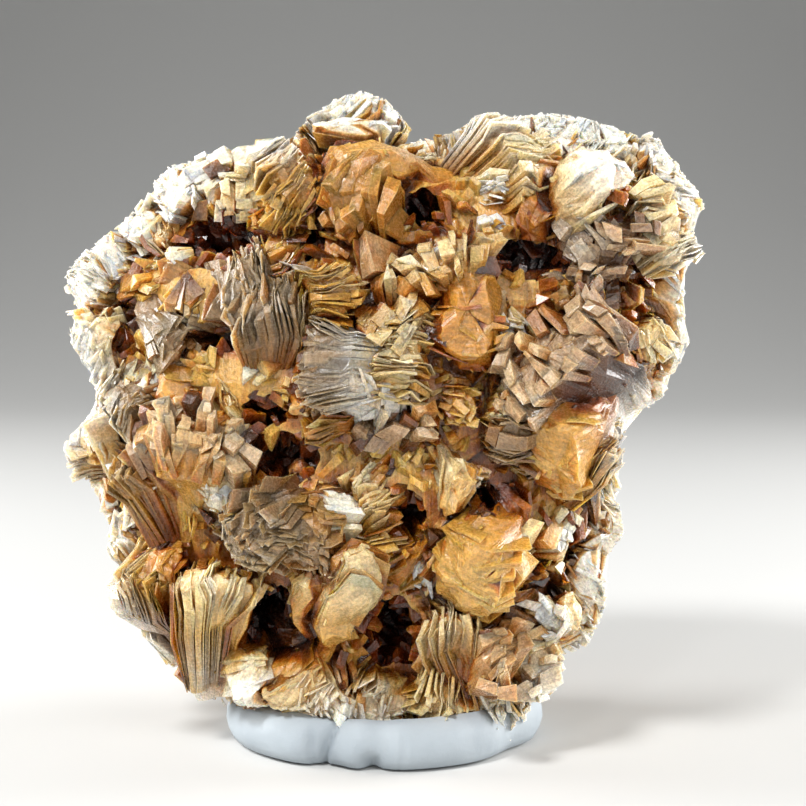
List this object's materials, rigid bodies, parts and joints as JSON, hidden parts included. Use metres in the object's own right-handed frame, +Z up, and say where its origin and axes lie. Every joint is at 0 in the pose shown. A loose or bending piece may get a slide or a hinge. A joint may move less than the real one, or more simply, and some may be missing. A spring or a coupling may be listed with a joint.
{
  "type": "barite crystal cluster",
  "caption": "Rounded mineral specimen of barite: fans and rosettes of thin tabular crystals grown together over a massive body, standing in a soft putty pad.",
  "frame": {"origin": "on the putty's flat underside, below the middle of the cluster", "axes": "+Z up, +X to the right and -Y towards the viewer of the showing side"},
  "size_m": [0.0541, 0.036, 0.0543],
  "materials": {
    "barite": "glossy crystal faces over iron-stained, striated plates, cream at the crests and rust brown in the hollows",
    "putty": "matte pale blue-grey soft putty, pressed by hand"
  },
  "bodies": {
    "root": {"barite_cluster": "barite", "mounting_putty": "putty"}
  },
  "joints": []
}
